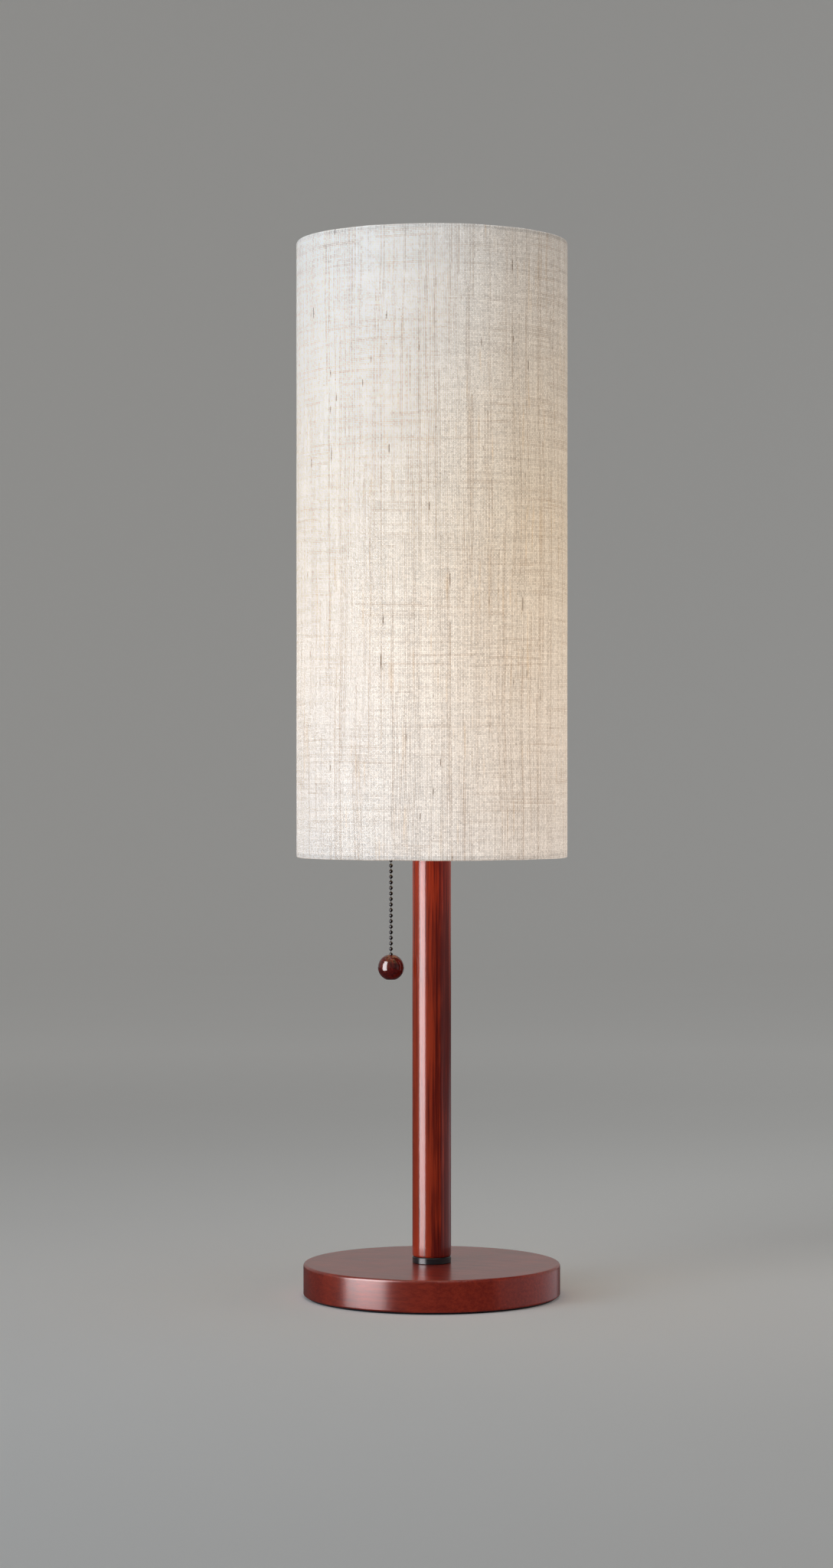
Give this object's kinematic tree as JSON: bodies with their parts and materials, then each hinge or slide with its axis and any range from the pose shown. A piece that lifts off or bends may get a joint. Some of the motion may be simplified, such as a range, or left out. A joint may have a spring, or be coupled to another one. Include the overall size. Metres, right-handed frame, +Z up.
{
  "type": "table lamp",
  "caption": "Table lamp with a tall cloth drum shade on a slim turned wood column and round wood base, switched by a bead pull chain with a wood ball.",
  "frame": {"origin": "on the table under the middle of the round base", "axes": "+Z up the column, -Y to the lamp's front, so that the pull chain hangs on the -X side"},
  "size_m": [0.2029, 0.203, 0.787],
  "materials": {
    "stained_wood": "cherry stain under gloss lacquer",
    "black_gloss": "gloss black enamel",
    "black_felt": "felt",
    "cast_weight": "bare",
    "plated_steel": "nickel plated",
    "black_nickel": "black nickel plated",
    "phenolic": "moulded",
    "contact_brass": "bare",
    "cap_aluminium": "rolled",
    "linen": "natural slub weave",
    "shade_backing": "white styrene",
    "frosted_glass": "frosted"
  },
  "bodies": {
    "stand": {"base_felt": "black_felt", "base_disc": "stained_wood", "base_weight": "cast_weight", "weight_screws": "plated_steel", "base_washer": "plated_steel", "base_nut": "plated_steel", "cord_bushing": "phenolic", "pole_collar": "black_gloss", "pole": "stained_wood", "lamp_pipe": "plated_steel", "pole_cap": "black_gloss", "harp_saddle": "plated_steel", "saddle_nut": "plated_steel", "harp_bow": "plated_steel", "harp_stud": "plated_steel", "finial": "black_gloss", "switch_case": "phenolic", "neck_screw": "plated_steel", "socket_shell": "phenolic", "case_screws": "plated_steel", "screw_shell": "cap_aluminium", "centre_contact": "contact_brass", "switch_block": "phenolic", "terminal_screws": "contact_brass", "lever_pin": "plated_steel", "lever_spring": "plated_steel", "chain_guide": "black_nickel", "bulb_contact": "contact_brass", "bulb_insulator": "phenolic", "bulb_cap": "cap_aluminium", "bulb_glass": "frosted_glass"},
    "lever": {"pull_lever": "plated_steel"},
    "pull_head": {"chain_head": "black_nickel"},
    "chain_bead": {"chain_knuckle": "black_nickel"},
    "pull": {"pull_chain": "black_nickel", "pull_ball": "stained_wood", "ball_stop": "black_nickel"},
    "front_sleeve": {"front_ferrule": "plated_steel"},
    "back_sleeve": {"back_ferrule": "plated_steel"},
    "shade": {"shade_cloth": "linen", "shade_liner": "shade_backing", "top_hoop": "plated_steel", "bottom_hoop": "plated_steel", "spider_hub": "plated_steel", "spider_arms": "plated_steel"}
  },
  "joints": [
    {"name": "chain_pull", "type": "slide", "parent": "stand", "child": "pull_head", "axis": [0, 0, -1], "range_m": [0, 0.008], "stiffness_N_per_m": 400, "springref_m": -0.004, "deforming": ["lever_spring"]},
    {"name": "lever_swing", "type": "hinge", "parent": "stand", "child": "lever", "pos_m": [-0.0085, 0, 0.4652], "axis": [0, -1, 0], "range_deg": [0, 20.66]},
    {"name": "chain_sway_front_back", "type": "hinge", "parent": "pull_head", "child": "chain_bead", "pos_m": [-0.0305, 0, 0.44222], "axis": [1, 0, 0], "range_deg": [-22, 22]},
    {"name": "chain_sway_side", "type": "hinge", "parent": "chain_bead", "child": "pull", "pos_m": [-0.0305, 0, 0.44222], "axis": [0, 1, 0], "range_deg": [-1.5, 22]},
    {"name": "shade_turn", "type": "hinge", "parent": "stand", "child": "shade", "pos_m": [0, 0, 0.744], "axis": [0, 0, 1], "continuous": true},
    {"name": "front_ferrule_lift", "type": "slide", "parent": "stand", "child": "front_sleeve", "axis": [0, 0, 1], "range_m": [0, 0.016]},
    {"name": "back_ferrule_lift", "type": "slide", "parent": "stand", "child": "back_sleeve", "axis": [0, 0, 1], "range_m": [0, 0.016]}
  ],
  "couplings": [
    {"joint": "lever_swing", "follows": "chain_pull", "rad_per_m": 44.963}
  ]
}
